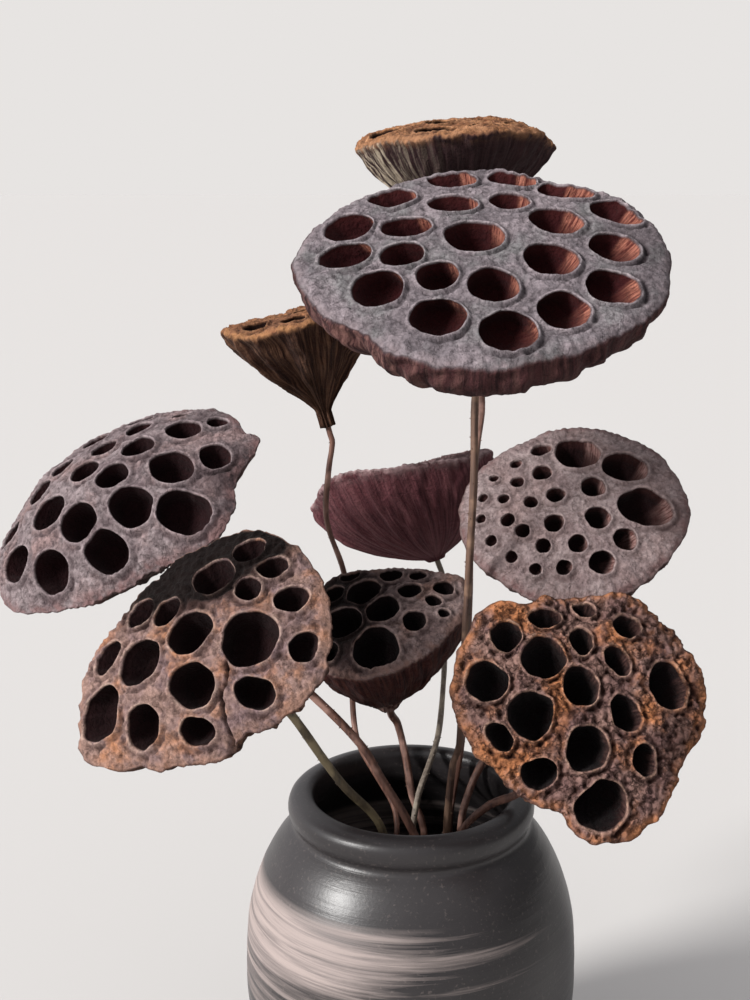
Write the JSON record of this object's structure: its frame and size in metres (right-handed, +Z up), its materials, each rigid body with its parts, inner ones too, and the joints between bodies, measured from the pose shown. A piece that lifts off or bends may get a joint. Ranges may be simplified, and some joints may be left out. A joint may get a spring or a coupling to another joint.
{
  "type": "dried lotus pods in a stoneware jar",
  "caption": "Dried lotus seed pods with empty seed cells, on thin bent stems, standing in a squat round stoneware jar with a rolled lip.",
  "frame": {"origin": "centre of the jar's flat base", "axes": "+Z up along the jar's axis, -Y towards the side the largest pod faces, +X to the right of a viewer on that side"},
  "size_m": [0.2242, 0.2003, 0.3427],
  "materials": {
    "stoneware": "unglazed dark stoneware with a dull sheen",
    "pod_grey": "dry leathery skin, matt",
    "pod_brown": "dry crusty skin, matt",
    "pod_dark": "dry dark skin, matt",
    "stem_brown": "dry stem, matt"
  },
  "bodies": {
    "root": {"jar": "stoneware", "pod_top": "pod_grey", "pod_top_behind": "pod_brown", "pod_funnel": "pod_brown", "pod_back": "pod_dark", "pod_left": "pod_grey", "pod_left_front": "pod_brown", "pod_centre": "pod_dark", "pod_right_back": "pod_grey", "pod_right_front": "pod_brown", "stem_top": "stem_brown", "stem_top_behind": "stem_brown", "stem_funnel": "stem_brown", "stem_back": "stem_brown", "stem_left": "stem_brown", "stem_left_front": "stem_brown", "stem_centre": "stem_brown", "stem_right_back": "stem_brown", "stem_right_front": "stem_brown"}
  },
  "joints": []
}
